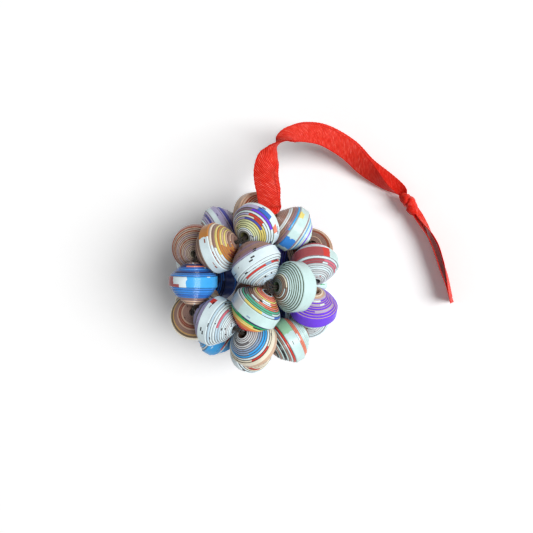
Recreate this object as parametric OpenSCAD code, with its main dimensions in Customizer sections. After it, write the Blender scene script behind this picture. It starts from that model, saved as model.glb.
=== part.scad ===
// Ball ornament of thirty rolled card beads, strung edge to edge into a
// dodecahedron and hung from a doubled satin ribbon.
// Sizes are in millimetres. The ball stands on the five beads of its bottom
// face; the origin is under its centre and +Z is up.

/* [Paper beads] */
// Thickness of one turn of rolled card, with its varnish
card_t = 0.5; // [0.4:0.05:0.6]
// Turns of card in one bead
turns = 14; // [10:1:16]
// Hole left by the rolling pin
bore_d = 2.4; // [2:0.1:3.6]
// Width of the card strip where it starts, at the hole
strip_start_w = 14.4; // [12:0.2:20]
// Width of the card strip where it ends, on the outermost turn
strip_end_w = 3.2; // [2:0.2:5]
// Gap between the flanks of neighbouring beads
seat_gap = 0.2; // [0.1:0.05:0.6]

/* [Stringing thread] */
// Diameter of the thread
thread_d = 0.5; // [0.3:0.05:0.6]
// Gap between the two passes of thread inside a bead
pass_gap = 0.2; // [0.1:0.05:0.3]

/* [Hanging ribbon] */
// Width of the ribbon
ribbon_w = 7; // [5:0.5:8]
// Thickness of one layer of ribbon
ribbon_t = 0.3; // [0.2:0.05:0.35]
// Gap between the ribbon and the bead it is looped round
loop_gap = 0.1; // [0.05:0.05:0.15]
// Long way across the overhand knot
knot_w = 8; // [7:0.5:8.5]
// Short way across the overhand knot
knot_t = 5.5; // [4:0.5:6]

/* [View] */
// Piece to build, or all of them

/* [Hidden] */
$fn = 48;

// A bead is one strip of card rolled from its wide end. The strip narrows
// evenly along its length, so each turn is shorter than the one under it.
bore_r = bore_d / 2;
bead_r = bore_r + turns * card_t;
function turn_r(i) = bore_r + i * card_t;
function turn_half_w(i) = strip_end_w / 2 + (strip_start_w - strip_end_w) / 2
    * (pow(bead_r, 2) - pow(turn_r(i), 2)) / (pow(bead_r, 2) - pow(bore_r, 2));

// Neighbouring beads meet at 108 degrees. The edge of the dodecahedron is as
// short as the flanks of two such beads allow.
edge = seat_gap + 2 * max([for (i = [1:turns]) turn_half_w(i) + turn_r(i) * tan(36)]);

// Corners of the dodecahedron: four rings of five, standing on a face
face_r = edge / (2 * sin(36));
belt_r = face_r * (1 + sqrt(5)) / 2;
face_h = edge * sqrt(250 + 110 * sqrt(5)) / 20;
belt_h = face_h - face_r;
centre_z = face_h + bead_r;
function ring(r, z, turn) = [for (k = [0:4]) [r * cos(72 * k + turn), r * sin(72 * k + turn), centre_z + z]];
top = ring(face_r, face_h, 0);
upper = ring(belt_r, belt_h, 0);
lower = ring(belt_r, -belt_h, 36);
bottom = ring(face_r, -face_h, 36);

// Every bead: its name, the two corners it lies between and its main colour
top_colours = ["aliceblue", "wheat", "deepskyblue", "aliceblue", "honeydew"];
upper_colours = ["mintcream", "cornsilk", "tan", "sienna", "lightsteelblue"];
belt_colours = ["rosybrown", "honeydew", "peru", "mediumpurple", "ivory",
    "burlywood", "deepskyblue", "cornsilk", "mintcream", "blueviolet"];
lower_colours = ["rosybrown", "lightsteelblue", "midnightblue", "lavender", "gainsboro"];
bottom_colours = ["midnightblue", "steelblue", "tan", "steelblue", "mintcream"];
BEADS = concat(
    [for (k = [0:4]) [str("top_bead_", k + 1), top[k], top[(k + 1) % 5], top_colours[k]]],
    [for (k = [0:4]) [str("upper_bead_", k + 1), upper[k], top[k], upper_colours[k]]],
    [for (k = [0:4]) [str("belt_bead_", 2 * k + 1), upper[k], lower[k], belt_colours[2 * k]]],
    [for (k = [0:4]) [str("belt_bead_", 2 * k + 2), lower[k], upper[(k + 1) % 5], belt_colours[2 * k + 1]]],
    [for (k = [0:4]) [str("lower_bead_", k + 1), lower[k], bottom[k], lower_colours[k]]],
    [for (k = [0:4]) [str("bottom_bead_", k + 1), bottom[k], bottom[(k + 1) % 5], bottom_colours[k]]]
);

// The thread runs round each face, a little inside the bead axes. Two faces
// share a bead, and their threads lie side by side in its hole.
face_tilt = acos(1 / sqrt(5));
thread_inset = (thread_d + pass_gap) / (2 * sin((180 - face_tilt) / 2));

// The ribbon is looped round the narrow end of one bead, on these turns. The
// flank slopes away there in this direction.
loop_bead = BEADS[6];
loop_turns = [1, 2, 3];
flank_way = [cos(68), sin(68)];
loop_at = [turn_r(2), turn_half_w(2)] + flank_way * (loop_gap + ribbon_t);

// Frame of the looped bead: middle, outward direction and direction to the
// corner. The ribbon leaves the loop straight outward.
loop_mid = (loop_bead[1] + loop_bead[2]) / 2;
loop_out = unit(loop_mid - [0, 0, centre_z]);
loop_end = unit(loop_bead[1] - loop_mid);
loop_root = loop_mid + loop_out * loop_at[0] + loop_end * loop_at[1];

// Lie of the ribbon from the bead to the knot: a point, the direction across
// the ribbon there, the width and thickness, and how much of the width is flat
flat = 0.94;
doubled = 2 * ribbon_t + 0.1;
band = [
    [loop_root, [0.6, -0.6, -0.5], 1.6, doubled, 0.7],
    [[8.8, 25.6, 35.4], [0.9, 0, -0.4], ribbon_w * 0.5, doubled, 0.8],
    [[9.1, 26.5, 36.4], [0.9, 0, -0.4], ribbon_w * 0.9, doubled, flat],
    [[9.2, 28.9, 37.6], [0.9, 0, -0.4], ribbon_w, doubled, flat],
    [[9.3, 31.1, 38.4], [0.9, 0, -0.4], ribbon_w, doubled, flat],
    [[8.7, 34, 38.6], [0.9, 0, -0.4], ribbon_w, doubled, flat],
    [[8.2, 37.5, 38.2], [0.9, 0, -0.4], ribbon_w, doubled, flat],
    [[8.9, 41.4, 37.7], [0.7, 0.1, -0.7], ribbon_w, doubled, flat],
    [[10.2, 44.2, 37.2], [0.2, 0.2, -1], ribbon_w, doubled, flat],
    [[11.4, 46.4, 36.4], [-0.3, 0.3, -0.9], ribbon_w, doubled, flat],
    [[12.7, 48.3, 34.8], [-0.3, 0.6, -0.7], ribbon_w, doubled, flat],
    [[14.1, 50.6, 30.4], [-0.2, 0.8, -0.4], ribbon_w, doubled, flat],
    [[16, 52.8, 21.5], [0.1, 1, -0.1], ribbon_w, doubled, flat],
    [[20.5, 52.6, 14.5], [0.2, 1, 0], ribbon_w, doubled, flat],
    [[27, 48.6, 8], [0.3, 0.9, 0.2], ribbon_w, doubled, flat],
    [[33, 42.4, 5], [0.3, 0.8, 0.4], ribbon_w, doubled, flat],
    [[40, 37, 4], [0.3, 0.7, 0.6], ribbon_w, doubled, flat],
    [[45, 33.4, 4], [0.2, 0.4, 0.9], ribbon_w, 2 * doubled, 0.8],
    [[47, 31, 4.5], [0.1, 0.2, 1], knot_w * 0.8, knot_t * 0.8, 0.6],
    [[48.5, 29, 4.5], [0, 0, 1], knot_w, knot_t, 0.5],
    [[50, 27, 4.5], [0, 0, 1], knot_w * 0.8, knot_t * 0.8, 0.6],
    [[51, 25.5, 4.2], [0, 0, 1], ribbon_w * 0.6, 2 * doubled, 0.8]
];

// The two cut tails stand on edge on the table
tail_z = ribbon_w / 2 + 0.1;
inner_tail = [[49.4, 27.8], [52.2, 23.2], [55, 18.4], [57.6, 12.6], [60.1, 5.6], [62.4, 0.4], [64.2, -5]];
outer_tail = [[50, 28.5], [53, 24], [56, 19.6], [58.9, 14.8], [60.7, 9.5], [62.2, 4.3], [63.7, -3.2]];

function unit(v) = v / norm(v);

// Outline of a band at one station: eight points across the way it runs
function outline(run, s) = let (u = unit(s[1] - run * (run * s[1])), v = cross(run, u), f = s[4])
    [for (c = [[1, 0.5], [f, 1], [-f, 1], [-1, 0.5], [-1, -0.5], [-f, -1], [f, -1], [1, -0.5]])
        s[0] + u * c[0] * s[2] / 2 + v * c[1] * s[3] / 2];

// A solid swept through a list of stations
module swept(stations) {
    last = len(stations) - 1;
    runs = [for (i = [0:last]) unit(stations[min(i + 1, last)][0] - stations[max(i - 1, 0)][0])];
    points = [for (i = [0:last]) each outline(runs[i], stations[i])];
    walls = [for (i = [0:last - 1], j = [0:7]) each let (a = 8 * i + j, b = 8 * i + (j + 1) % 8)
        j < 4 ? [[a, b + 8, b], [a, a + 8, b + 8]] : [[a, a + 8, b], [b, a + 8, b + 8]]];
    caps = [for (j = [1:6]) each [[0, j, j + 1], [8 * last, 8 * last + j + 1, 8 * last + j]]];
    polyhedron(points = points, faces = concat(walls, caps));
}

// Moves a shape from the Z axis onto the line between two corners
module between(p, q) {
    d = q - p;
    translate((p + q) / 2) rotate([0, acos(d.z / norm(d)), atan2(d.y, d.x)]) children();
}

// One rolled bead, standing on the Z axis with its stepped turns
module bead() {
    flank = [for (i = [1:turns]) each [[turn_r(i - 1), turn_half_w(i)], [turn_r(i), turn_half_w(i)]]];
    under = [for (i = [len(flank) - 1:-1:0]) [flank[i].x, -flank[i].y]];
    rotate_extrude() polygon(concat(flank, under));
}

// Thread round one face, with its corners where three beads meet
module face_thread() {
    r = face_r - thread_inset / cos(36);
    translate([0, 0, face_h]) rotate_extrude(angle = 360, $fn = 5) translate([r, 0])
        circle(d = thread_d, $fn = 8);
}

// The six faces of the upper half
module half_net() {
    face_thread();
    for (k = [0:4]) rotate([0, face_tilt, 72 * k + 36]) face_thread();
}

// All twelve faces of the ball
module stringing_thread() {
    translate([0, 0, centre_z]) {
        half_net();
        rotate([180, 0, 36]) half_net();
    }
}

// Loop of ribbon that hugs the end of its bead
module ribbon_loop() {
    near = [for (i = loop_turns) [turn_r(i), turn_half_w(i)] + flank_way * loop_gap];
    far = [for (i = [len(near) - 1:-1:0]) near[i] + flank_way * ribbon_t];
    between(loop_bead[2], loop_bead[1]) rotate_extrude() polygon(concat(near, far));
}

// Doubled ribbon with its loop, its knot and its two tails
module hanging_ribbon() {
    ribbon_loop();
    swept(band);
    for (tail = [inner_tail, outer_tail])
        swept([for (p = tail) [[p.x, p.y, tail_z], [0, 0, 1], ribbon_w, ribbon_t, flat]]);
}

for (b = BEADS) color(b[3]) between(b[1], b[2]) bead();
color("dimgray") stringing_thread();
color("red") hanging_ribbon();
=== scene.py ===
# %% [markdown]
# # A ball of rolled card beads on a red ribbon
# The object is a hanging ornament: thirty beads, each rolled from one strip of
# printed card, strung edge to edge into a ball with twelve five-sided openings.
# A doubled satin ribbon is looped round one bead and knotted. This lesson
# dresses the measured solids with real rolled strips, woven ribbon and print.

import math

import bpy
import numpy as np
from mathutils import Matrix, Vector


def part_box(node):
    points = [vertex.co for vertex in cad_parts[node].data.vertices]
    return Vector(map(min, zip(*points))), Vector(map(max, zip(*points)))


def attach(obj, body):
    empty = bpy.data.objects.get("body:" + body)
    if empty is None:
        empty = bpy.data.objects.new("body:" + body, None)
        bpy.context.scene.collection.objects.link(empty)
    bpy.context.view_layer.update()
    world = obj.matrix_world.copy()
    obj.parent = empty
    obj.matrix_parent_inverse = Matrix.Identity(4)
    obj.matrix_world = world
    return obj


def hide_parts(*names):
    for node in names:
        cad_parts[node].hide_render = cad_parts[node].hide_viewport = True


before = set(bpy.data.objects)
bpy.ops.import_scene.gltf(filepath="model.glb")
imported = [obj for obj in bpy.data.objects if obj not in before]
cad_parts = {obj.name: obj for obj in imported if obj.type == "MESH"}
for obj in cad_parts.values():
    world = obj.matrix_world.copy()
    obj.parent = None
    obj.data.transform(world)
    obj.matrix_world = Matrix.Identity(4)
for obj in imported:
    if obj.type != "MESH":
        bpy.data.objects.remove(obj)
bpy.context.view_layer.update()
MM = 0.001


# %% [markdown]
# ## Camera
# The ball was photographed from above and a little to its right. Three
# directions and one place describe such a view fully: right, up, and the way
# back from the picture to the lens. Writing them out as a matrix avoids the
# guesswork of turning a camera by three angles.

# %% Set up the camera
PHOTO_SIDE = 533
FOCAL_PIXELS = 600
SENSOR_MM = 36
camera_at = np.array([88.2, 11.3, 218.6])
camera_right = np.array([0.9155, 0.0258, -0.4015])
camera_up = np.array([-0.0342, 0.9993, -0.0138])


def unit(v):
    """A vector, or each row of an array of vectors, at length one."""
    v = np.asarray(v, float)
    return v / np.linalg.norm(v, axis=-1, keepdims=True)


def put_in_scene(name, data):
    """An object that shows this data, linked into the scene."""
    made = bpy.data.objects.new(name, data)
    bpy.context.collection.objects.link(made)
    return made


right = unit(camera_right)
back = unit(np.cross(right, camera_up))
up = np.cross(back, right)
camera_data = bpy.data.cameras.new("camera")
camera_data.sensor_width = SENSOR_MM
camera_data.lens = SENSOR_MM * FOCAL_PIXELS / PHOTO_SIDE
camera_data.clip_start = 0.01
camera = put_in_scene("camera", camera_data)
pose = np.eye(4)
pose[:3, 0], pose[:3, 1], pose[:3, 2], pose[:3, 3] = right, up, back, camera_at * MM
camera.matrix_world = Matrix(pose.tolist())
bpy.context.scene.camera = camera
print("lens in mm:", round(camera_data.lens, 1))

# %% [markdown]
# ## Small tools for shader nodes
# A material in Blender is a small graph. Wiring it by hand takes many lines, so
# a few helpers do it: one fills or links a node's inputs by name, one adds a
# node, and three add the kinds of node that come back most often, which are
# arithmetic, a blend of two colours and a ramp of colours.

# %% Helpers for nodes


def fill(tree, node, inputs):
    """Links each input that is given a socket, and sets the others."""
    for key, value in inputs.items():
        if isinstance(value, bpy.types.NodeSocket):
            tree.links.new(value, node.inputs[key])
        else:
            node.inputs[key].default_value = value


def add(tree, kind, inputs=None, **settings):
    """Adds a node with its settings, and fills its inputs."""
    made = tree.nodes.new(kind)
    for key, value in settings.items():
        setattr(made, key, value)
    fill(tree, made, inputs or {})
    return made


def math_node(tree, operation, first, second=0.0, third=0.0):
    """One step of arithmetic, and the socket with its result."""
    made = add(tree, "ShaderNodeMath", {0: first, 1: second, 2: third}, operation=operation)
    return made.outputs[0]


def mix_colour(tree, amount, first, second, blend="MIX"):
    """Blends two colours by an amount, and gives the socket with the result."""
    # The node has sockets for numbers, vectors and colours; 6, 7 and 2 are those for colours
    sockets = {0: amount, 6: first, 7: second}
    return add(tree, "ShaderNodeMix", sockets, data_type="RGBA", blend_type=blend).outputs[2]


def colour_ramp(tree, value, stops, interpolation="LINEAR"):
    """Turns a value into a colour. Each stop is a position and the colour there."""
    made = add(tree, "ShaderNodeValToRGB", {"Fac": value})
    ramp = made.color_ramp
    ramp.interpolation = interpolation
    while len(ramp.elements) < len(stops):
        ramp.elements.new(1.0)
    for element, (position, colour) in zip(ramp.elements, stops):
        element.position = position
        element.color = colour
    return made.outputs["Color"]


print("node helpers ready")

# %% [markdown]
# ## Small tools for groups and materials
# An effect that several materials share is worth building once, as a node group
# with named sockets. These helpers start such a group, place it in a material,
# read a value that the mesh carries, start a material, and turn a colour code
# into the linear numbers that a renderer works with.

# %% Helpers for groups and materials


def start_group(name, inputs, outputs):
    """An empty node group, its input node and its output node. Inputs are names with start values."""
    group = bpy.data.node_groups.new(name, "ShaderNodeTree")
    for title, value in inputs.items():
        kind = "NodeSocketVector" if value is None else "NodeSocketFloat"
        socket = group.interface.new_socket(name=title, in_out="INPUT", socket_type=kind)
        if value is not None:
            socket.default_value = value
    for title in outputs:
        group.interface.new_socket(name=title, in_out="OUTPUT", socket_type="NodeSocketFloat")
    return group, group.nodes.new("NodeGroupInput"), group.nodes.new("NodeGroupOutput")


def place_group(tree, group, inputs):
    """Places a group in a material with its own values, and gives its outputs."""
    return add(tree, "ShaderNodeGroup", inputs, node_tree=group).outputs


def attribute(tree, name):
    """A value that the mesh carries at each point."""
    return add(tree, "ShaderNodeAttribute", attribute_name=name).outputs["Fac"]


def new_material(name):
    """A material, its node tree and its main shader."""
    made = bpy.data.materials.new(name)
    made.use_nodes = True
    return made, made.node_tree, made.node_tree.nodes["Principled BSDF"]


def linear(code):
    """The colour that a six-digit web code names, as the renderer's linear values."""
    parts = [int(code[i : i + 2], 16) / 255 for i in (0, 2, 4)]
    return [c / 12.92 if c <= 0.04045 else ((c + 0.055) / 1.055) ** 2.4 for c in parts] + [1.0]


print("group and material helpers ready")

# %% [markdown]
# ## Table
# The ornament lies on white paper. The lamp below stays at a level where a colour
# comes out about as it is written, and at that level white paper looks grey. So
# the paper is lifted to white, but only for the rays that look straight at it or
# at its reflection. It throws no more plain light on the ornament, and the
# shadow stays.

# %% Make the table
FLOOR_SIDE = 3.0
# The paper lies a hair under the beads, so that no two faces share one place
FLOOR_DROP = 0.00005
PAPER_LIFT = 0.38


def seen_by_eye(tree):
    """One for rays from the lens and for mirrored rays, and nought for the others."""
    rays = add(tree, "ShaderNodeLightPath").outputs
    return math_node(tree, "MAXIMUM", rays["Is Camera Ray"], rays["Is Glossy Ray"])


floor_mesh = bpy.data.meshes.new("table_top")
half = FLOOR_SIDE / 2
floor_corners = [(-half, -half, 0), (half, -half, 0), (half, half, 0), (-half, half, 0)]
floor_mesh.from_pydata(floor_corners, [], [(0, 1, 2, 3)])
floor = put_in_scene("table_top", floor_mesh)
floor.location.z = -FLOOR_DROP
paper_white, tree, shader = new_material("white_table_paper")
grain = add(tree, "ShaderNodeTexNoise", {"Scale": 900.0, "Detail": 4.0})
paper_tints = [(0.0, (0.93, 0.93, 0.93, 1)), (1.0, (0.96, 0.96, 0.96, 1))]
tint = colour_ramp(tree, grain.outputs["Fac"], paper_tints)
lift = math_node(tree, "MULTIPLY_ADD", seen_by_eye(tree), PAPER_LIFT, 1.0)
lifted = add(tree, "ShaderNodeVectorMath", {0: tint, "Scale": lift}, operation="SCALE").outputs[0]
fill(tree, shader, {"Base Color": lifted, "Roughness": 0.9, "Specular IOR Level": 0.0})
floor_mesh.materials.append(paper_white)
print("table side in m:", FLOOR_SIDE)

# %% [markdown]
# ## Light
# Light comes from the right and leaves one soft shadow. A sun lamp with a wide
# disc gives that soft edge, and the world adds a little light from the room. The
# room itself looks white in the same way as the paper does.

# %% Make the light
KEY_STRENGTH = 2.85
KEY_SPREAD = math.radians(30)
KEY_FROM = (0.745, 0.0, 0.65)
ROOM_LIGHT = 0.18

sun_data = bpy.data.lights.new("window_light", "SUN")
sun_data.energy = KEY_STRENGTH
sun_data.angle = KEY_SPREAD
sun = put_in_scene("window_light", sun_data)
sun.rotation_mode = "QUATERNION"
sun.rotation_quaternion = Vector(KEY_FROM).to_track_quat("Z", "Y")

world = bpy.data.worlds.new("white_room")
world.use_nodes = True
bpy.context.scene.world = world
tree = world.node_tree
seen_white = math_node(tree, "MULTIPLY_ADD", seen_by_eye(tree), 1.0 - ROOM_LIGHT, ROOM_LIGHT)
fill(tree, tree.nodes["Background"], {"Color": (1, 1, 1, 1), "Strength": seen_white})
bpy.context.scene.view_settings.view_transform = "Standard"
print("light from", KEY_FROM)

# %% [markdown]
# ## The ball's plan
# Every bead is one edge of a regular dodecahedron. A strip of card that narrows
# evenly gives each turn its width, and two neighbours meet at 108 degrees, so
# the bead's own outline fixes how long the edges are. The same few sizes as the
# solids' give the corners, in four rings of five.

# %% Work out the corners and the beads
CARD_T = 0.5
TURNS = 14
BORE_R = 1.2
STRIP_START_W = 14.4
STRIP_END_W = 3.2
SEAT_GAP = 0.2
BEAD_R = BORE_R + TURNS * CARD_T


def strip_half_width(r):
    """Half the strip's width where its outside has reached radius r."""
    left = (BEAD_R**2 - r**2) / (BEAD_R**2 - BORE_R**2)
    return STRIP_END_W / 2 + (STRIP_START_W - STRIP_END_W) / 2 * left


turn_radii = BORE_R + CARD_T * np.arange(1, TURNS + 1)
edge = SEAT_GAP + 2 * np.max(strip_half_width(turn_radii) + turn_radii * math.tan(math.radians(36)))
face_r = edge / (2 * math.sin(math.radians(36)))
belt_r = face_r * (1 + math.sqrt(5)) / 2
face_h = edge * math.sqrt(250 + 110 * math.sqrt(5)) / 20
belt_h = face_h - face_r
centre = np.array([0, 0, face_h + BEAD_R])


def corner_ring(r, z, turn):
    """Five corners at one height, as rows."""
    angle = np.radians(72 * np.arange(5) + turn)
    return centre + np.stack([r * np.cos(angle), r * np.sin(angle), np.full(5, z)], axis=1)


top = corner_ring(face_r, face_h, 0)
upper = corner_ring(belt_r, belt_h, 0)
lower = corner_ring(belt_r, -belt_h, 36)
bottom = corner_ring(face_r, -face_h, 36)

bead_ends = {}
for k in range(5):
    following = (k + 1) % 5
    bead_ends[f"top_bead_{k + 1}"] = (top[k], top[following])
    bead_ends[f"upper_bead_{k + 1}"] = (upper[k], top[k])
    bead_ends[f"belt_bead_{2 * k + 1}"] = (upper[k], lower[k])
    bead_ends[f"belt_bead_{2 * k + 2}"] = (lower[k], upper[following])
    bead_ends[f"lower_bead_{k + 1}"] = (lower[k], bottom[k])
    bead_ends[f"bottom_bead_{k + 1}"] = (bottom[k], bottom[following])

worst = 0
for name, (p, q) in bead_ends.items():
    low, high = (np.array(corner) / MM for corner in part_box(name))
    worst = max(worst, np.abs((low + high) / 2 - (p + q) / 2).max())
print("edge in mm:", round(edge, 2), "beads off their solids by at most", round(worst, 3), "mm")

# %% [markdown]
# ## Helpers for meshes
# Every piece below is worked out as rows of points in millimetres. One function
# turns points and faces into an object, smooths it where the surface is smooth,
# keeps its real edges sharp and hangs the values that the materials read on it.
# Two more give the faces of a tube and a smooth run through rows of numbers.

# %% Helpers for pieces
SHARP = math.radians(35)


def make_piece(name, points, faces, material, values):
    """A mesh object in metres. values are named numbers, one for each point."""
    mesh = bpy.data.meshes.new(name)
    mesh.from_pydata((np.asarray(points) * MM).tolist(), [], [[int(i) for i in face] for face in faces])
    mesh.materials.append(material)
    for title, numbers in values.items():
        layer = mesh.attributes.new(title, "FLOAT", "POINT")
        layer.data.foreach_set("value", np.asarray(numbers, np.float32))
    mesh.polygons.foreach_set("use_smooth", np.ones(len(mesh.polygons), bool))
    mesh.set_sharp_from_angle(angle=SHARP)
    mesh.validate()
    return put_in_scene(name, mesh)


def tube_faces(rings, sides, closed_run=False):
    """Four-sided faces between neighbouring rings of points, wound outwards."""
    run = np.arange(rings if closed_run else rings - 1)[:, None]
    side = np.arange(sides)[None, :]
    after, beside = (run + 1) % rings, (side + 1) % sides
    quads = [run * sides + side, run * sides + beside, after * sides + beside, after * sides + side]
    return np.stack(np.broadcast_arrays(*quads), axis=-1).reshape(-1, 4)


def ribbon_curve(stations, per_station):
    """A smooth run through rows of numbers, with the same number of steps between each two."""
    rows = np.asarray(stations, float)
    padded = np.vstack([2 * rows[0] - rows[1], rows, 2 * rows[-1] - rows[-2]])
    t = np.linspace(0, 1, per_station, endpoint=False)[:, None]
    pieces = []
    for a, b, c, d in zip(padded, padded[1:], padded[2:], padded[3:]):
        pieces.append(b + t / 2 * (c - a + t * (2 * a - 5 * b + 4 * c - d + t * (3 * (b - c) + d - a))))
    return np.vstack(pieces + [rows[-1:]])


print("piece helpers ready")

# %% [markdown]
# ## Woven satin
# Satin ribbon is woven: fine threads cross at a slant and catch the light in
# short dashes. Bands of a sine wave along two slanted directions give that
# weave. Its Shade output paints that light into colour: raised threads are a
# painted highlight, and a noise drawn out along the threads adds painted glints
# that make some dashes paler than others. The group is used for the ribbon and,
# with a coarser pitch, for the twist of the stringing thread.

# %% Group for threads laid at a slant
weave, weave_in, weave_out = start_group(
    "Slanted threads", {"Along": 0.0, "Across": 0.0, "Pitch": 0.5, "Slant": 1.0}, ["Height", "Shade"]
)
along_in, across_in = weave_in.outputs["Along"], weave_in.outputs["Across"]
pitch_in, slant_in = weave_in.outputs["Pitch"], weave_in.outputs["Slant"]
slanted = math_node(weave, "MULTIPLY_ADD", across_in, slant_in, along_in)
steps = math_node(weave, "DIVIDE", slanted, pitch_in)
wave = math_node(weave, "SINE", math_node(weave, "MULTIPLY", steps, 2 * math.pi))
counter = math_node(weave, "MULTIPLY_ADD", across_in, -2.2, along_in)
counter_steps = math_node(weave, "DIVIDE", counter, pitch_in)
counter_wave = math_node(weave, "SINE", math_node(weave, "MULTIPLY", counter_steps, 4.1))
height = math_node(weave, "MULTIPLY_ADD", counter_wave, 0.45, wave)
drawn_out = math_node(weave, "MULTIPLY", across_in, 0.4)
place = add(weave, "ShaderNodeCombineXYZ", {"X": slanted, "Y": drawn_out})
patchy = add(weave, "ShaderNodeTexNoise", {"Vector": place.outputs[0], "Scale": 1.5, "Detail": 2.0})
# Painted glints: some thread dashes are made paler, standing in for the satin's shine
painted_glints = math_node(weave, "MULTIPLY_ADD", patchy.outputs["Fac"], 0.8, 0.1)
# Shade is painted light: lighter on raised threads and darker between them, with the painted glints on top
shade = math_node(weave, "MULTIPLY_ADD", height, 0.24, painted_glints)
fill(weave, weave_out, {"Height": height, "Shade": shade})
print("group:", weave.name)

# %% [markdown]
# ## The ribbon's finish
# The ribbon is a saturated red. The dashes of its weave run from deep red to pale
# pink; the pale pink end is painted sheen and painted glints, which stand in for
# the shine of satin. Light soaks through the thin cloth, and its two selvedges are
# a little darker and thicker. Seen at a low angle a smooth surface mirrors the
# white table, but cloth hardly does, so the specular level stays close to zero.
# The mesh carries the distance along and across the ribbon, so the weave follows
# every twist.

# %% Red satin
RIBBON_W = 7.0
SELVEDGE_W = 0.35
satin, tree, shader = new_material("red_satin")
along, across = attribute(tree, "along"), attribute(tree, "across")
threads = place_group(tree, weave, {"Along": along, "Across": across, "Pitch": 0.62, "Slant": 0.8})
# The pale pink end of this ramp is painted sheen and painted glints on the threads
reds_and_painted_sheen = [(0.2, linear("d01d14")), (0.75, linear("ff4634")), (1.0, linear("ffa498"))]
weave_and_painted_sheen = colour_ramp(tree, threads["Shade"], reds_and_painted_sheen)
from_middle = math_node(tree, "ABSOLUTE", across)
selvedge = math_node(tree, "GREATER_THAN", from_middle, RIBBON_W / 2 - SELVEDGE_W)
darker = math_node(tree, "MULTIPLY", selvedge, 0.45)
relief = math_node(tree, "MULTIPLY_ADD", selvedge, 0.8, threads["Height"])
bump = add(tree, "ShaderNodeBump", {"Strength": 0.35, "Distance": 0.00008, "Height": relief})
cloth_finish = {
    "Base Color": mix_colour(tree, darker, weave_and_painted_sheen, linear("c4140c")),
    "Roughness": math_node(tree, "MULTIPLY_ADD", threads["Shade"], -0.25, 0.52),
    "Normal": bump.outputs["Normal"],
    "Subsurface Weight": 0.4,
    "Subsurface Radius": (1.0, 0.05, 0.02),
    "Subsurface Scale": 0.0012,
    "Specular IOR Level": 0.04,
}
fill(tree, shader, cloth_finish)
print("material:", satin.name)

# %% [markdown]
# ## The ribbon's lie
# The ribbon is doubled. It comes out of a corner between three beads in a
# gather, runs out level, turns over onto its edge and falls to the table in a
# slow twist, up to an overhand knot. The stations below are the measured solid's
# own points, with the direction across the ribbon at each.

# %% Route of the doubled ribbon
LOOP_BEAD = "upper_bead_2"
LOOP_GAP = 0.1
RIBBON_T = 0.3
FLANK_WAY = np.array([math.cos(math.radians(68)), math.sin(math.radians(68))])
loop_p, loop_q = bead_ends[LOOP_BEAD]
loop_mid = (loop_p + loop_q) / 2
loop_out = unit(loop_mid - centre)
loop_end = unit(loop_p - loop_mid)
loop_side = np.cross(loop_end, loop_out)
loop_turn_r = BORE_R + CARD_T * 2
loop_at = np.array([loop_turn_r, strip_half_width(loop_turn_r)]) + FLANK_WAY * (LOOP_GAP + RIBBON_T)
loop_root = loop_mid + loop_out * loop_at[0] + loop_end * loop_at[1]

# Each row: the point, the direction across, the share of the full width, how far
# the two layers have slipped apart, the angles by which the top layer rises and
# the under layer drops like the pages of a book, and how far the cloth bows.
band_stations = [
    [*loop_root, 0.6, -0.6, -0.5, 0.4, 0, 0, 0, 0],
    [8.8, 25.6, 35.4, 0.9, 0, -0.4, 0.95, -0.1, 0, 0, -0.2],
    [9.1, 26.5, 36.4, 0.9, 0, -0.4, 1, -0.1, 0, 0, -0.3],
    [9.2, 28.9, 37.6, 0.9, 0, -0.4, 1, -0.3, 0, 0, -0.5],
    [9.3, 31.1, 38.4, 0.9, 0, -0.4, 1, -0.5, 0, 0, -0.6],
    [8.7, 34, 38.6, 0.9, 0, -0.4, 1, -0.6, 0, 0, -0.7],
    [8.2, 37.5, 38.2, 0.9, 0, -0.4, 1, -0.6, 0, 0, -0.8],
    [8.9, 41.4, 37.7, 0.7, 0.1, -0.7, 1.04, -0.4, 0, 0, -0.5],
    [10.2, 44.2, 37.2, 0.2, 0.2, -1, 1.08, -0.2, 0, 0, -0.2],
    [11.4, 46.4, 36.4, -0.3, 0.3, -0.9, 0.92, 0, 0, 0, 0],
    [12.7, 48.3, 34.8, -0.3, 0.6, -0.7, 0.88, 0, 0, 0, 0.1],
    [14.1, 50.6, 30.4, -0.2, 0.8, -0.4, 0.84, 0, 0, 0, 0.3],
    [16, 52.8, 21.5, 0.1, 1, -0.1, 0.95, 0.2, 0, 0, 0.5],
    [20.5, 52.6, 14.5, 0.2, 1, 0, 1, 0.4, 0, 0, 0.5],
    [27, 48.6, 8, 0.3, 0.9, 0.2, 1, 0.4, 0, 2, 0.3],
    [33, 42.4, 5, 0.3, 0.8, 0.4, 1, 0.2, 4, 6, 0.1],
    [40, 37, 4, 0.3, 0.7, 0.6, 0.88, 0, 22, 22, 0],
    [45, 33.4, 4, 0.2, 0.4, 0.9, 0.55, 0, 22, 40, 0],
    [47, 31, 4.5, 0.1, 0.2, 1, 0.45, 0, 4, 16, 0],
    [48.5, 29, 4.5, 0, 0, 1, 0.4, 0, 0, 0, 0],
]
tail_z = RIBBON_W / 2 + 0.1
inner_tail = [[49.4, 27.8], [52.2, 23.2], [55, 18.4], [57.6, 12.6], [60.1, 5.6], [62.4, 0.4], [64.2, -5]]
outer_tail = [[50, 28.5], [53, 24], [56, 19.6], [58.9, 14.8], [60.7, 9.5], [62.2, 4.3], [63.7, -3.2]]
print("stations:", len(band_stations), "and for each tail", len(inner_tail))

# %% [markdown]
# ## Cloth along a route
# A curve with a flat profile could follow the route, but it can't gather, slip or
# open like the leaves of a book. So the cloth is worked out row by row. The way
# along the ribbon, the way across it and the way that stands up from it make a
# small frame at each step, and pleats, bows and the fine teeth of the selvedge
# are offsets in that frame.

# %% Helpers for woven bands
STEPS = 18
ACROSS = 14
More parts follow.
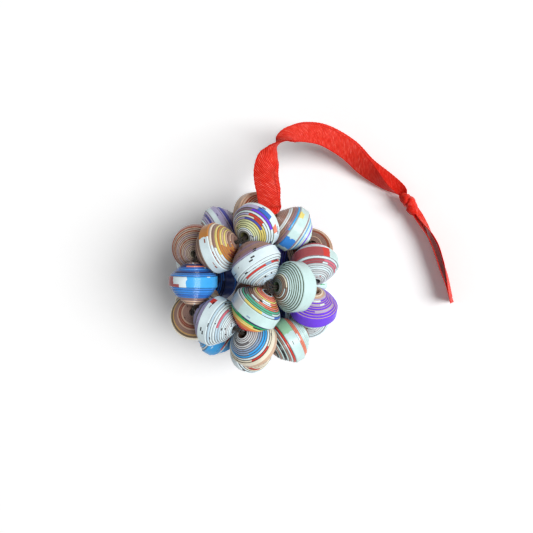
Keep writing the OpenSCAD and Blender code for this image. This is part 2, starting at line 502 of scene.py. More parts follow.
# Length and height in mm of one tooth of the selvedge, the share across past which a
# point is on the very edge, and how thick the cloth is left there
PICOT, TOOTH = 1.25, 0.05
EDGE_AT = 0.49
EDGE_THIN = 0.55


def satin_band(run, lie, width, lift=0.0, slip=0.0, pleat=0.0, open_by=0.0, bow=0.12, start_along=0.0):
    """Points, faces and cloth distances of a thin woven band along rows of points."""
    # The small frame at each step: along, across and up from the cloth
    tangent = unit(np.gradient(run, axis=0))
    lie = unit(lie - tangent * np.sum(lie * tangent, axis=1, keepdims=True))
    normal = np.cross(tangent, lie)
    count = len(run)
    length = start_along + np.concatenate([[0], np.cumsum(np.linalg.norm(np.diff(run, axis=0), axis=1))])
    shapes = [np.broadcast_to(v, (count,))[:, None] for v in (width, lift, slip, pleat, bow)]
    width, lift, slip, pleat, bow = shapes
    # The layer opens about its first edge, like a page
    angle = np.radians(np.broadcast_to(open_by, (count,)))[:, None]
    opened = lie * np.cos(angle) + normal * np.sin(angle)
    run = run + (opened - lie) * width / 2
    normal = np.cross(tangent, opened)
    lie = opened
    # Across the band: teeth on the selvedges, pleats and a bow
    across = np.linspace(-0.5, 0.5, ACROSS)[None, :]
    on_edge = np.abs(across) > EDGE_AT
    teeth = TOOTH * np.sin(2 * math.pi * length / PICOT)[:, None]
    picots = np.where(on_edge, teeth, 0) * np.sign(across)
    fold = pleat * np.cos(across * 6 * math.pi) + bow * (np.cos(across * math.pi) - 0.6)
    middle = run[:, None, :] + lie[:, None, :] * (across * width + slip + picots)[..., None]
    middle = middle + normal[:, None, :] * (lift + fold)[..., None]
    # Two faces of cloth, closed at both ends
    half_t = (RIBBON_T / 2 * np.where(on_edge, EDGE_THIN, 1.0))[..., None]
    front, rear = middle + normal[:, None, :] * half_t, middle - normal[:, None, :] * half_t
    points = np.concatenate([front, rear[:, ::-1]], axis=1)
    sides = 2 * ACROSS
    faces = [list(f) for f in tube_faces(count, sides)[:, ::-1]]
    for j in range(ACROSS - 1):
        faces.append([j + 1, j, sides - 1 - j, sides - 2 - j])
        base = (count - 1) * sides
        faces.append([base + j, base + j + 1, base + sides - 2 - j, base + sides - 1 - j])
    spread = np.broadcast_to(np.concatenate([across, across[:, ::-1]], axis=1) * RIBBON_W, (count, sides))
    return points.reshape(-1, 3), faces, np.repeat(length, sides), spread.ravel()


def join(parts):
    """Several sets of points, faces, along and across values as one."""
    shift, points, faces, along, across = 0, [], [], [], []
    for p, f, a, c in parts:
        points.append(p)
        faces += [[i + shift for i in face] for face in f]
        along.append(a)
        across.append(c)
        shift += len(p)
    return np.vstack(points), faces, np.concatenate(along), np.concatenate(across)


print("rows between two stations:", STEPS)

# %% [markdown]
# ## Two layers and two tails
# Two thin bands follow the route, one on the other and a little out of step, as
# two layers of cloth do. They are pleated where they are pinched, at the bead
# and at the knot. Past the knot each layer ends in a tail of its own, which
# stands on its edge.

# %% Lay the layers and the tails
LAYER_LIFT = 0.22
# Shares of the route where the gather at the bead ends and that at the knot starts
BEAD_GATHER, KNOT_GATHER = 0.16, 0.92
# Places in mm along the cloth where the weave of the under layer and of the tails starts
UNDER_FROM, TAIL_FROM = 31.0, 130.0
curve = ribbon_curve(band_stations, STEPS)
run, lie = curve[:, :3], curve[:, 3:6]
share, slip, rises, drops, bows = curve[:, 6:].T
progress = np.linspace(0, 1, len(run))
# Pleats are deepest at the bead and at the knot
gather = np.clip(1 - progress / BEAD_GATHER, 0, 1) ** 1.5
gather = gather + np.clip((progress - KNOT_GATHER) / (1 - KNOT_GATHER), 0, 1)
wide = RIBBON_W * share
parts = [
    satin_band(run, lie, wide, LAYER_LIFT, -slip, 0.3 * gather, rises, bows),
    satin_band(run, lie, wide, -LAYER_LIFT, slip, 0.28 * gather, -drops, bows, UNDER_FROM),
]
# A tail leans towards the ball where it leaves the knot, and away from it further on
tail_right = np.array([0.81, 0.58, 0.0])
lean_places = [0, 0.12, 0.25, 0.38, 0.7, 0.82, 1]
leans = [-0.4, -0.35, -0.1, 0.16, 0.18, 0.06, -0.04]
for tail in (inner_tail, outer_tail):
    flat_run = ribbon_curve([[x, y, tail_z] for x, y in tail], STEPS)
    tail_way = np.linspace(0, 1, len(flat_run))
    lean = np.interp(tail_way, lean_places, leans)
    tail_lie = np.outer(lean, tail_right) + np.array([0.0, 0.0, 1.0])
    spread = np.clip(np.linspace(0.5, 1.8, len(flat_run)), 0, 1)
    pleats = 0.25 * (1 - spread)
    parts.append(satin_band(flat_run, tail_lie, RIBBON_W * spread, pleat=pleats, start_along=TAIL_FROM))
points, faces, along_mm, across_mm = join(parts)
cloth = {"along": along_mm, "across": across_mm}
ribbon = make_piece("hanging_ribbon_cloth", points, faces, satin, cloth)
print("ribbon faces:", len(faces))

# %% [markdown]
# ## Loop round the bead
# The ribbon goes round the narrow end of one bead as a single flat layer. A thin
# cone that hugs the bead's flank is the loop, with a slight ripple, as in cloth
# that is pulled round a curve.

# %% Loop round the bead
AROUND = 96
angle = np.linspace(0, 2 * math.pi, AROUND, endpoint=False)
loop_rows = []
for turn in np.linspace(1, 3, 6):
    r = BORE_R + CARD_T * turn
    loop_rows.append(np.array([r, strip_half_width(r)]) + FLANK_WAY * LOOP_GAP)
inside = np.array(loop_rows)
section = np.vstack([inside, inside[::-1] + FLANK_WAY * RIBBON_T])
ripple = 1 + 0.006 * np.sin(7 * angle) + 0.004 * np.sin(13 * angle + 1)
spoke = np.cos(angle)[:, None] * loop_out + np.sin(angle)[:, None] * loop_side
loop_points = loop_mid + spoke[:, None, :] * (section[None, :, :1] * ripple[:, None, None])
loop_points = loop_points + loop_end * section[None, :, 1:]
loop_faces = tube_faces(AROUND, len(section), closed_run=True)
loop_along = np.repeat(angle * loop_turn_r, len(section))
loop_across = np.tile(np.concatenate([np.linspace(-1.5, 1.5, 6), np.linspace(1.5, -1.5, 6)]), AROUND)
cloth = {"along": loop_along, "across": loop_across}
loop = make_piece("ribbon_loop", loop_points.reshape(-1, 3), loop_faces, satin, cloth)
print("loop faces:", len(loop_faces))

# %% [markdown]
# ## Knot
# The overhand knot is pulled tight into a lump of crossed folds. A band that is
# tied in code is hard to steer, and only the outside shows. An oval body with
# two valleys that cross it at opposite slants, a collar where the ribbon goes in
# and fine creases between them looks the same and stays light.

# %% Knot
KNOT_AT = np.array(band_stations[-1][:3])
BEFORE_KNOT, PAST_KNOT = np.array([47, 31, 4.5]), np.array([50, 27, 4.5])
KNOT_HALF_LENGTH = 4.6
KNOT_HALF_HEIGHT = 3.6
KNOT_HALF_DEPTH = 2.2
knot_run = unit(PAST_KNOT - BEFORE_KNOT)
knot_up = np.array([0.0, 0.0, 1.0])
knot_side = np.cross(knot_run, knot_up)
KNOT_ROWS, KNOT_SIDES = 56, 56
knot_at = np.linspace(-1, 1, KNOT_ROWS)[:, None]
angle = np.linspace(0, 2 * math.pi, KNOT_SIDES, endpoint=False)[None, :]
swell = np.clip(1 - np.abs(knot_at) ** 2.4, 0.02, 1) ** 0.42
first_fold = np.exp(-(((knot_at + 0.12 - 0.3 * np.sin(angle)) / 0.13) ** 2))
second_fold = np.exp(-(((knot_at - 0.42 + 0.35 * np.sin(angle)) / 0.12) ** 2))
collar = np.exp(-(((knot_at + 0.72) / 0.09) ** 2))
creases = 0.03 * np.sin(5 * angle + 8 * knot_at) + 0.02 * np.sin(9 * angle - 5 * knot_at)
size = swell * (1 - 0.2 * first_fold - 0.17 * second_fold - 0.1 * collar + creases)
bulge = -0.6 * np.exp(-(((knot_at + 0.2) / 0.45) ** 2))
rows = KNOT_AT + (KNOT_HALF_LENGTH * knot_at)[..., None] * knot_run
rows = rows + (size * KNOT_HALF_HEIGHT * np.cos(angle))[..., None] * knot_up
rows = rows + (size * KNOT_HALF_DEPTH * np.sin(angle) + bulge)[..., None] * knot_side
points = rows.reshape(-1, 3)
last = (KNOT_ROWS - 1) * KNOT_SIDES
faces = tube_faces(KNOT_ROWS, KNOT_SIDES).tolist()
faces += [list(range(KNOT_SIDES - 1, -1, -1)), list(range(last, last + KNOT_SIDES))]
along_mm = np.broadcast_to(KNOT_HALF_LENGTH * knot_at, size.shape).ravel()
across_mm = np.broadcast_to(2.5 * np.abs(angle - math.pi) - 2.8, size.shape).ravel()
knot = make_piece("ribbon_knot", points, faces, satin, {"along": along_mm, "across": across_mm})
print("knot faces:", len(faces))

# %% [markdown]
# ## One ribbon
# Layers, loop and knot are one ribbon on the real object. The three pieces hang
# from the same body as the beads, in the place of the ribbon's plain solid.

# %% Attach the ribbon
for piece in (ribbon, loop, knot):
    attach(piece, "root")
    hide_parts("hanging_ribbon")

# %% [markdown]
# ## Card fibres
# The beads are rolled from printed box card. Card is pressed from fibres, so its
# tone is never quite even. A fine noise gives the fibres and a broad one the
# cloudy patches. All thirty prints share it, so it is a group.

# %% Group for card fibres
fibre, fibre_in, fibre_out = start_group(
    "Card fibres", {"Place": None, "Fineness": 2600.0}, ["Tint", "Height"]
)
place_in, fineness = fibre_in.outputs["Place"], fibre_in.outputs["Fineness"]
fine_grain = {"Vector": place_in, "Scale": fineness, "Detail": 5.0, "Roughness": 0.65}
fine = add(fibre, "ShaderNodeTexNoise", fine_grain)
broad_scale = math_node(fibre, "MULTIPLY", fineness, 0.09)
broad = add(fibre, "ShaderNodeTexNoise", {"Vector": place_in, "Scale": broad_scale, "Detail": 2.0})
mottled = math_node(fibre, "MULTIPLY_ADD", broad.outputs["Fac"], 0.35, 0.72)
tint = math_node(fibre, "MULTIPLY_ADD", fine.outputs["Fac"], 0.2, mottled)
fill(fibre, fibre_out, {"Tint": tint, "Height": fine.outputs["Fac"]})
print("group:", fibre.name)

# %% [markdown]
# ## Varnish
# The rolled beads were brushed with clear varnish, which pools here and there
# and holds a little dust. A soft noise makes the gloss uneven, and small round
# specks that stand up are the dust.

# %% Group for pooled varnish
varnish, varnish_in, varnish_out = start_group(
    "Pooled varnish", {"Place": None, "Matt": 0.16}, ["Roughness", "Height"]
)
place_in = varnish_in.outputs["Place"]
pools = add(varnish, "ShaderNodeTexNoise", {"Vector": place_in, "Scale": 420.0, "Detail": 2.0})
specks = add(varnish, "ShaderNodeTexVoronoi", {"Vector": place_in, "Scale": 700.0})
dust = math_node(varnish, "LESS_THAN", specks.outputs["Distance"], 0.12)
rough = math_node(varnish, "MULTIPLY_ADD", pools.outputs["Fac"], 0.22, varnish_in.outputs["Matt"])
rough = math_node(varnish, "MULTIPLY_ADD", dust, 0.2, rough)
swell_height = math_node(varnish, "MULTIPLY_ADD", dust, 0.25, pools.outputs["Fac"])
fill(varnish, varnish_out, {"Roughness": rough, "Height": swell_height})
print("group:", varnish.name)

# %% [markdown]
# ## Printed dashes
# Printed card carries small marks in rows. A brick pattern in which only some of
# the bricks are inked gives short dashes along the strip, and a broad noise
# leaves whole stretches bare.

# %% Group for rows of printed dashes
dashes, dashes_in, dashes_out = start_group(
    "Printed dashes", {"Turn": 0.0, "Across": 0.0, "Amount": 0.3, "Row": 0.7}, ["Mask"]
)
MM_PER_TURN = 48.0
along_strip = math_node(dashes, "MULTIPLY", dashes_in.outputs["Turn"], MM_PER_TURN)
spot = add(dashes, "ShaderNodeCombineXYZ", {"X": along_strip, "Y": dashes_in.outputs["Across"]})
bricks = add(
    dashes,
    "ShaderNodeTexBrick",
    {
        "Vector": spot.outputs[0],
        "Color1": (0, 0, 0, 1),
        "Color2": (1, 1, 1, 1),
        "Mortar": (0, 0, 0, 1),
        "Scale": 1.0,
        "Mortar Size": 0.12,
        "Brick Width": 1.5,
        "Row Height": dashes_in.outputs["Row"],
    },
    offset=0.37,
)
threshold = math_node(dashes, "SUBTRACT", 1.0, dashes_in.outputs["Amount"])
chosen = math_node(dashes, "GREATER_THAN", bricks.outputs["Color"], threshold)
lines = add(dashes, "ShaderNodeTexNoise", {"Vector": spot.outputs[0], "Scale": 0.11, "Detail": 0.0})
in_lines = math_node(dashes, "GREATER_THAN", lines.outputs["Fac"], 0.52)
fill(dashes, dashes_out, {"Mask": math_node(dashes, "MULTIPLY", chosen, in_lines)})
print("group:", dashes.name)

# %% [markdown]
# ## Inks
# The strips come from many boxes, so the beads share one tray of flat inks.
# Naming them once keeps each bead's print readable as words.

# %% Tray of inks
INKS = {
    "white": "e6f8fd", "mint": "d2eeec", "silver": "d6dcdf", "grey": "7c7f83", "black": "24262a",
    "cream": "f3ebd4", "yellow": "f0e084", "lime": "dee4b0", "gold": "d8b06a", "amber": "cc8840",
    "orange": "e8924a", "salmon": "ee8a72", "pink": "e5798c", "rose": "b5545c", "red": "d8443c",
    "maroon": "b0565a", "rust": "9c4a2c", "brown": "9a7a6f", "umber": "4a372f", "tan": "d6b69c",
    "mauve": "96788a", "lavender": "bdb6dc", "violet": "7746ea", "indigo": "5558b8", "navy": "2d3b6c",
    "blue": "3a74cc", "sky": "48b2f8", "azure": "4391e6", "pale": "cbe6f5", "steel": "98b0cd",
    "teal": "5fbf9e", "green": "2fae66", "leaf": "a5dcb4", "moss": "4c5c46", "olive": "5c5a3a",
}
ink = {name: linear(code) for name, code in INKS.items()}
# A spiral climbs one thickness in each turn, so it fills the bead in one turn less than rings do
WRAPS = TURNS - 1


def read_print(text):
    """Turns 'white 2, red 0.5' into the share of the strip where each field starts, and its ink."""
    start, fields = 0.0, []
    for field in text.split(","):
        name, length = field.split()
        fields.append((min(start / WRAPS, 1.0), ink[name]))
        start += float(length)
    return fields


print("inks:", len(ink))

# %% [markdown]
# ## Print along a strip
# A printed strip shows only a narrow margin of each turn, so a field of colour
# on the box becomes an arc or a few rings on the bead. The mesh tells the
# material how many turns along the strip a point lies. A colour ramp with hard
# steps lays the fields down in the order they were rolled, with one ramp for
# each margin of the strip. Ink laps a little over the cut edge, and the inner
# part of the edge shows the bare core as a fine line between two turns. On many
# beads that core colour is picked dark, as painted shade in the groove between
# the turns. How broad that line is can be set for a bead.

# %% Material of printed, varnished card
# Share of the cut edge that shows the core colour, which on darker beads is painted groove shade
CORE_AND_SHADE_SHARE = 0.43


def printed_card(name, near_text, far_text, core_and_groove_shade, dash_ink, dash_amount, core_and_shade_share=CORE_AND_SHADE_SHARE):
    """Card with fields on each margin, short dashes, a bare core with painted groove shade on its cut edge,
    fibres and varnish.
    """
    material, tree, shader = new_material(name)
    place = add(tree, "ShaderNodeTexCoord").outputs["Object"]
    turn, across = attribute(tree, "turn"), attribute(tree, "across")
    wander = add(tree, "ShaderNodeTexNoise", {"Vector": place, "Scale": 900.0, "Detail": 1.0})
    ragged = math_node(tree, "MULTIPLY_ADD", wander.outputs["Fac"], 0.03, turn)
    position = math_node(tree, "DIVIDE", ragged, float(WRAPS))
    near = colour_ramp(tree, position, read_print(near_text), "CONSTANT")
    far = colour_ramp(tree, position, read_print(far_text), "CONSTANT")
    colour = mix_colour(tree, math_node(tree, "GREATER_THAN", across, 0.0), near, far)
    marks = place_group(tree, dashes, {"Turn": turn, "Across": across, "Amount": dash_amount})
    colour = mix_colour(tree, marks["Mask"], colour, ink[dash_ink])
    fibres = place_group(tree, fibre, {"Place": place})
    depth = math_node(tree, "MULTIPLY_ADD", wander.outputs["Fac"], 0.3, attribute(tree, "depth"))
    skin = add(tree, "ShaderNodeMapRange", {"Value": depth, 1: core_and_shade_share + 0.1, 2: core_and_shade_share + 0.2})
    # The inner cut edge takes the core colour: bare card, and on darker beads painted shade in the groove
    # between turns
    colour = mix_colour(tree, skin.outputs[0], ink[core_and_groove_shade], colour)
    colour = mix_colour(tree, 1.0, colour, fibres["Tint"], blend="MULTIPLY")
    gloss = place_group(tree, varnish, {"Place": place, "Matt": 0.18})
    relief = math_node(tree, "MULTIPLY_ADD", fibres["Height"], 0.25, gloss["Height"])
    bump = add(tree, "ShaderNodeBump", {"Strength": 0.25, "Distance": 0.0001, "Height": relief})
    card_finish = {
        "Base Color": colour,
        "Roughness": gloss["Roughness"],
        "Normal": bump.outputs["Normal"],
        "Specular IOR Level": 0.15,
        "Coat Weight": 0.14,
        "Coat Roughness": 0.1,
    }
    fill(tree, shader, card_finish)
    return material


print("card materials ready")

# %% [markdown]
# ## Rolling a bead
# A turned profile would give perfect rings, but a bead is a spiral: one strip
# that starts at the hole and narrows as it goes round. Sweeping the strip's own
# small section along that spiral gives real steps, real cut edges and the lap
# where the strip ends. A little wander of the strip from side to side makes
# each bead a hand-made one.

# %% Roll one strip
STEPS_PER_TURN = 72
# Rounding of the cut edge in mm, and how far the edge slants for each mm of radius
EDGE_ROUND = 0.06
EDGE_SLANT = 0.034
# Share of the pitch that card fills, and the slack in turns that has built up by the end
CARD_FILL = 0.95
END_SLACK = 0.45
# What differs by hand: the tightest roll as a share of the full size, the most of a turn
# that is missing at the end, the waver of the cut and two drifts of the strip in mm, and
# the turn from which a strip cut wider or narrower departs from the others
TIGHTEST = 0.985
END_SHORT = 0.12
CUT_WAVER = 0.04
SLOW_DRIFT, QUICK_DRIFT = 0.09, 0.05
DEPARTS_AT = 6


def roll_strip(seed, end_width, lean):
    """Points of a rolled strip about the Z axis with its seam at -X, faces and values."""
    chance = np.random.default_rng(seed)
    size = chance.uniform(TIGHTEST, 1.0)
    wrap = np.linspace(0, WRAPS - chance.uniform(0.0, END_SHORT), WRAPS * STEPS_PER_TURN)
    phases = chance.uniform(0, 2 * math.pi, 4)
    pitch = (BEAD_R * size - BORE_R) / TURNS
    inner = BORE_R + pitch * (wrap + END_SLACK * wrap / WRAPS)
    inner = np.minimum(inner, BEAD_R * size - pitch)
    outer = inner + pitch * CARD_FILL
    trimmed = CUT_WAVER * np.abs(np.sin(1.7 * wrap + phases[0]))
    wide = strip_half_width(np.minimum(outer / size, BEAD_R)) - trimmed
    departed = np.clip(wrap - DEPARTS_AT, 0, None)
    wide = wide + (end_width - STRIP_END_W) / 2 * departed / (WRAPS - DEPARTS_AT)
    drift = SLOW_DRIFT * np.sin(0.9 * wrap + phases[1]) + QUICK_DRIFT * np.sin(3.1 * wrap + phases[2])
    drift = drift + lean * (wrap / WRAPS) ** 2
    slant = EDGE_SLANT * outer
    foot, brow = wide + 0.4 * slant, wide - 0.6 * slant
    shoulder = outer - EDGE_ROUND
    crest = brow - EDGE_ROUND
    radius = np.stack([inner, shoulder, outer, outer, shoulder, inner], axis=1)
    height = np.stack([-foot, -brow, -crest, crest, brow, foot], axis=1) + drift[:, None]
    angle = 2 * math.pi * wrap + math.pi
    points = np.stack([radius * np.cos(angle)[:, None], radius * np.sin(angle)[:, None], height], axis=2)
    count = len(wrap)
    faces = [list(f) for f in tube_faces(count, 6)[:, ::-1]]
    last = (count - 1) * 6
    faces += [[0, 1, 2, 3, 4, 5], [last + i for i in (5, 4, 3, 2, 1, 0)]]
    depth = np.tile([0, 1, 1, 1, 1, 0], count)
    values = {"turn": np.repeat(wrap, 6), "across": height.ravel(), "depth": depth}
    return points.reshape(-1, 3), faces, values


def place_on_edge(points, p, q):
    """Moves points from the Z axis onto the line from p to q, with their X side outwards."""
    axis = unit(q - p)
    middle = (p + q) / 2
    outward = unit(middle - centre)
    return middle + points @ np.stack([outward, np.cross(axis, outward), axis])


print("strip steps:", WRAPS * STEPS_PER_TURN)

# %% [markdown]
# ## What each strip was cut from
# Each bead is described by the fields of colour on its first margin from the
# hole outwards, those on its second margin, the colour of the card's core that
# shows on the cut edge (on the darker beads also painted shade in the groove
# between turns), and the ink and share of its printed dashes. A sixth value,
# where there is one, is the bead's own share of bare core and painted shade.
# Lengths are in turns. A field that is shorter than a turn shows as an arc.

# %% Prints of the thirty beads
PLAIN_BROWN = "brown 3, tan 1, brown 4, rust 2, tan 3"
PRINTS = {
    "top_bead_1": (
        "pale 2, white 1, pale 1, silver 0.5, white 1.5, pale 1, white 2.34, red 0.16, steel 0.05,"
        "red 0.1, white 4",
        "brown 6, mauve 2, brown 2, mauve 0.5, brown 0.5, lavender 1, white 1",
        "grey", "black", 0.18,
    ),
    "top_bead_2": (
        "brown 2, rust 0.26, amber 0.12, tan 0.62, rust 0.25, amber 0.1, brown 0.65, rust 0.27,"
        "amber 0.12, tan 0.61, rust 0.24, amber 0.12, yellow 0.64, rust 0.28, amber 0.1, tan 0.62,"
        "amber 0.37, yellow 0.63, amber 1, white 0.3, yellow 0.7, white 0.38, brown 0.62,"
        "white 0.42, cream 0.58, white 0.47, amber 1",
        "brown 8, tan 1, brown 2, tan 1, white 0.47, amber 1",
        "brown", "rust", 0.08,
    ),
    "top_bead_3": (
        "brown 3, navy 2.15, salmon 0.25, navy 0.6, blue 1, azure 1, blue 1, navy 0.5, azure 1,"
        "blue 0.5, azure 1, sky 0.37, white 0.035, maroon 0.03, white 0.015, maroon 0.1, sky 1",
        "brown 2, tan 1, brown 1, tan 1, mauve 1, brown 1, azure 1, blue 0.5, azure 2, blue 0.5,"
        "azure 1, sky 0.37, white 0.035, maroon 0.145, sky 1",
        "navy", "white", 0.04,
    ),
    "top_bead_4": (
        "brown 3, grey 1, lavender 4, grey 1, lavender 2, grey 0.2, lavender 0.8, white 0.23,"
        "red 0.025, white 1",
        "pale 1, white 2, silver 1, white 3, pale 1.2, pink 0.2, pale 0.6, white 2, pale 1, white 0.26,"
        "black 0.025, white 0.02, black 0.025, white 1",
        "grey", "black", 0.12,
    ),
    "top_bead_5": (
        "red 4, salmon 1, red 1, orange 2, yellow 1.5, black 0.7, green 1.2, navy 0.6, silver 0.38, mint 1",
        "white 1, salmon 3, yellow 1, tan 0.45, white 0.1, salmon 0.45, brown 0.4, black 0.05, white 0.15,"
        "orange 0.4, brown 0.35, white 0.1, salmon 0.55, grey 0.4, tan 0.1, salmon 0.5, grey 0.3, teal 1.3,"
        "mint 0.4, silver 0.35, yellow 0.15, pale 0.08, blue 0.12, mint 0.3, silver 0.38, mint 1",
        "umber", "steel", 0.06,
    ),
    "upper_bead_1": (
        "white 6, mint 7",
        "grey 2, brown 1, white 0.5, brown 1, cream 0.5, white 1, mint 7",
        "moss", "black", 0.05, 0.6,
    ),
    "upper_bead_2": (
        "brown 6, tan 3, white 4",
        "grey 1, silver 1.3, white 1, lime 0.4, silver 0.6, lime 0.4, cream 0.3, lime 0.6, cream 0.4,"
        "yellow 0.42, lime 0.2, cream 0.38, yellow 0.36, indigo 0.19, lavender 0.45, yellow 0.33,"
        "red 0.13, cream 0.54, white 0.35, red 0.18, lavender 0.47, white 1.3, violet 0.2, mauve 0.2,"
        "lavender 0.3, white 0.28, salmon 0.02, white 0.04, blue 0.11, lavender 0.55",
        "olive", "navy", 0.1,
    ),
    "upper_bead_3": (
        "brown 6, tan 2, cream 1, brown 4",
        "brown 3, mauve 1, brown 2, rust 1, brown 1, mauve 1, brown 1, rust 1, brown 1, rust 1",
        "cream", "rust", 0.06, 0.3,
    ),
    "upper_bead_4": (
        "brown 5, rust 4, moss 2, cream 2",
        "brown 4, tan 1, rust 2, tan 1, brown 2, gold 1, olive 1, cream 1",
        "brown", "umber", 0.06,
    ),
    "upper_bead_5": (
        "tan 5, brown 3, cream 2, tan 3",
        "silver 3, grey 0.6, silver 2.4, steel 2.5, sky 1.3, pale 0.2, white 1, cream 0.48, red 0.16,"
        "cream 2",
        "umber", "grey", 0.06,
    ),
    "belt_bead_1": (
        "silver 3, white 1, silver 2, white 2, silver 1.1, rose 0.27, white 0.03, pink 0.17, white 0.53,"
        "rose 0.27, white 0.02, pink 0.14, white 1.47, maroon 0.37, red 0.03, mint 1",
        "maroon 9, white 1, maroon 1, white 0.8, maroon 0.57, red 0.03, mint 1",
        "grey", "maroon", 0.04,
    ),
    "belt_bead_2": (
        "mint 6, violet 1, mint 2, sky 1, mint 1, mauve 0.6, sky 0.4, mint 0.13, azure 0.06, mint 0.15,"
        "sky 0.05, mint 1",
        "brown 7, white 0.5, brown 0.5, white 1, brown 1.25, mauve 1, sky 0.65, navy 0.1, mint 0.13,"
        "azure 0.06, mint 0.18, sky 0.02, yellow 0.04, mint 1",
        "tan", "blue", 0.03,
    ),
    "belt_bead_3": ("rust 4, brown 3, rust 1, brown 1, rust 2, tan 2", PLAIN_BROWN, "tan", "brown", 0.06),
    "belt_bead_4": (
        "brown 4, white 1, brown 1, lavender 3, indigo 2, lavender 2",
        "brown 3, white 1, brown 1, white 1, brown 1, white 1, lavender 2, indigo 1, lavender 1, white 1",
        "umber", "navy", 0.06,
    ),
    "belt_bead_5": ("silver 4, white 9", "silver 5, pale 2, white 6", "grey", "grey", 0.1),
    "belt_bead_6": (
        PLAIN_BROWN,
        "tan 4, cream 3, green 1, cream 2, salmon 1, cream 2",
        "umber", "moss", 0.1,
    ),
    "belt_bead_7": (
        "blue 4, sky 5, white 0.3, sky 1.7, red 0.2, white 0.3, sky 1.5",
        "steel 3, sky 6, white 1, red 0.3, sky 2.7",
        "navy", "white", 0.06,
    ),
    "belt_bead_8": (
        "tan 5, cream 4, grey 1, white 3",
        "tan 4, grey 2, cream 3, red 0.5, cream 1.5, white 2",
        "umber", "grey", 0.12,
    ),
    "belt_bead_9": (
        "brown 3, black 1, mint 1, brown 1, mint 1, black 1, mint 1, brown 1, white 1, red 1, leaf 0.2,"
        "mint 1",
        "brown 3, mint 7, salmon 1.26, white 0.03, salmon 0.04, white 0.02, salmon 0.65, leaf 0.2,"
        "mint 1",
        "moss", "black", 0.05,
    ),
    "belt_bead_10": (
        "silver 6, white 3, grey 1, violet 3",
        "brown 1, cream 1, tan 1, lavender 1.3, white 0.1, violet 1.6, lavender 0.35, white 0.08,"
        "violet 2.9, lavender 0.2, violet 4",
        "tan", "white", 0.04,
    ),
    "lower_bead_1": (PLAIN_BROWN, "mauve 5, brown 4, tan 4", "umber", "brown", 0.06),
    "lower_bead_2": ("steel 4, pale 3, blue 2, pale 4", "silver 5, blue 4, white 4", "grey", "navy", 0.12),
    "lower_bead_3": (
        "navy 2, blue 2, navy 2, steel 1, navy 2, blue 2, navy 2",
        "navy 2, steel 1, navy 2, blue 2, navy 3, blue 1, navy 2",
        "black", "steel", 0.05,
    ),
    "lower_bead_4": (
        "lavender 5, white 2, indigo 2, lavender 4",
        "mauve 4, lavender 9",
        "grey", "navy", 0.1,
    ),
    "lower_bead_5": ("silver 6, white 3, grey 1, white 3", "silver 4, white 9", "grey", "grey", 0.12),
    "bottom_bead_1": ("navy 6, steel 1, navy 3, indigo 3", "navy 5, blue 2, navy 6", "black", "steel", 0.08),
    "bottom_bead_2": ("navy 4, blue 5, sky 1, blue 3", "steel 4, blue 9", "navy", "white", 0.06),
    "bottom_bead_3": (PLAIN_BROWN, "tan 3, brown 3, gold 2, tan 5", "umber", "rust", 0.08),
    "bottom_bead_4": (
        "navy 5, steel 2, white 1, navy 5",
        "navy 7, indigo 3, navy 3",
        "black", "white", 0.08,
    ),
    "bottom_bead_5": (
        "mint 4, green 2, mint 2, salmon 1, mint 4",
        "white 5, pink 2, white 6",
        "grey", "green", 0.08,
    ),
}
print("prints:", len(PRINTS))

# %% [markdown]
# ## All thirty beads
# Each bead has its own material and its own seed, so no two are rolled alike. A
# few strips were cut wider or narrower at the end, or wandered to one side. The
# finished bead takes the place of its plain solid, on the same line between two
# corners.

# %% Roll and print the beads
# Width in mm of the last turn, and how far it wandered along the bead
HAND_CUT = {
    "top_bead_3": (3.2, -0.7),
    "top_bead_5": (3.6, 0.7),
    "upper_bead_1": (4.4, 0.0),
    "upper_bead_2": (2.8, 0.0),
}
for number, (name, (p, q)) in enumerate(bead_ends.items()):
    card = printed_card("print_" + name, *PRINTS[name])
    end_width, lean = HAND_CUT.get(name, (STRIP_END_W, 0.0))
    points, faces, values = roll_strip(100 + number, end_width, lean)
    piece = make_piece("rolled_" + name, place_on_edge(points, p, q), faces, card, values)
    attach(piece, "root")
    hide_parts(name)
print("beads rolled:", len(bead_ends))

# %% [markdown]
# ## Stringing thread
# One dark thread holds the ball together and shows at the corners. Such thread is
# twisted, so the slanted-threads group is placed here a second time, with a
# coarser pitch.

# %% Dark twisted thread
twine, tree, shader = new_material("dark_twisted_thread")
along, across = attribute(tree, "along"), attribute(tree, "across")
threads = place_group(tree, weave, {"Along": along, "Across": across, "Pitch": 0.7, "Slant": 0.9})
# The group's Shade is painted light, so the twist's ridges get painted highlight and its hollows painted
# shade
shade = colour_ramp(tree, threads["Shade"], [(0.0, linear("14100e")), (1.0, linear("42372f"))])
bump = add(tree, "ShaderNodeBump", {"Strength": 0.6, "Distance": 0.0001, "Height": threads["Height"]})
fill(tree, shader, {"Base Color": shade, "Roughness": 0.75, "Normal": bump.outputs["Normal"]})
print("material:", twine.name)

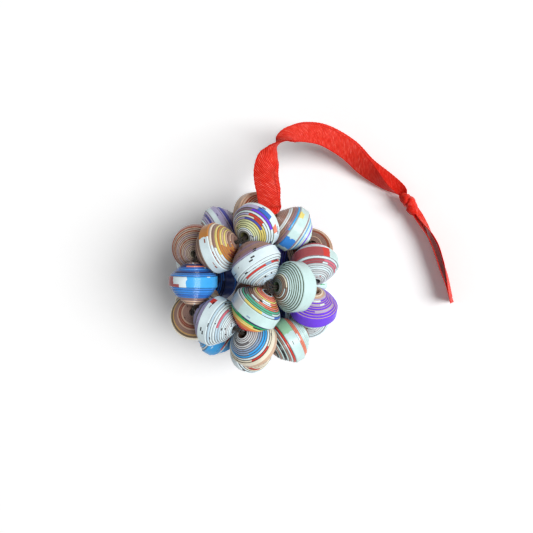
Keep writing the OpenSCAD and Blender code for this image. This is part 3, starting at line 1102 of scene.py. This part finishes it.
# %% [markdown]
# ## The thread's way
# The thread is stitched round the faces, so two passes lie in every hole and
# three cross at each corner. Rounded five-sided loops, one for each face and a
# little inside the bead axes, show the same passes.

# %% Thread round the twelve faces
THREAD_D = 0.5
PASS_GAP = 0.2
CORNER_RUN = 1.4
THREAD_SIDES = 8
half_fold = math.radians(180 - math.degrees(math.acos(1 / math.sqrt(5)))) / 2
thread_inset = (THREAD_D + PASS_GAP) / (2 * math.sin(half_fold))

face_corners = [top, bottom]
for k in range(5):
    following = (k + 1) % 5
    upper_face = [top[k], top[following], upper[following], lower[k], upper[k]]
    lower_face = [bottom[k], bottom[following], lower[following], upper[following], lower[k]]
    face_corners += [np.array(upper_face), np.array(lower_face)]

parts = []
for corners in face_corners:
    middle = corners.mean(axis=0)
    pull = thread_inset / math.cos(math.radians(36)) / face_r
    tight = corners + (middle - corners) * pull
    path = []
    for k in range(5):
        here, before, after = tight[k], tight[k - 1], tight[(k + 1) % 5]
        a, c = here + unit(before - here) * CORNER_RUN, here + unit(after - here) * CORNER_RUN
        for t in np.linspace(0, 1, 7):
            path.append((1 - t) ** 2 * a + 2 * t * (1 - t) * here + t**2 * c)
        path.append((c + after + unit(here - after) * CORNER_RUN) / 2)
    path = np.array(path)
    tangent = unit(np.roll(path, -1, axis=0) - np.roll(path, 1, axis=0))
    up_dir = unit(middle - centre)
    side_dir = np.cross(tangent, up_dir)
    angle = np.linspace(0, 2 * math.pi, THREAD_SIDES, endpoint=False)
    ring = np.cos(angle)[None, :, None] * side_dir[:, None, :] + np.sin(angle)[None, :, None] * up_dir
    points = path[:, None, :] + THREAD_D / 2 * ring
    length = np.concatenate([[0], np.cumsum(np.linalg.norm(np.diff(path, axis=0), axis=1))])
    faces = tube_faces(len(path), THREAD_SIDES, closed_run=True)
    around = np.tile(angle * THREAD_D / 2, len(path))
    parts.append((points.reshape(-1, 3), faces.tolist(), np.repeat(length, THREAD_SIDES), around))
points, faces, along_mm, across_mm = join(parts)
thread = make_piece("twisted_thread", points, faces, twine, {"along": along_mm, "across": across_mm})
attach(thread, "root")
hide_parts("stringing_thread")
print("thread loops:", len(parts))
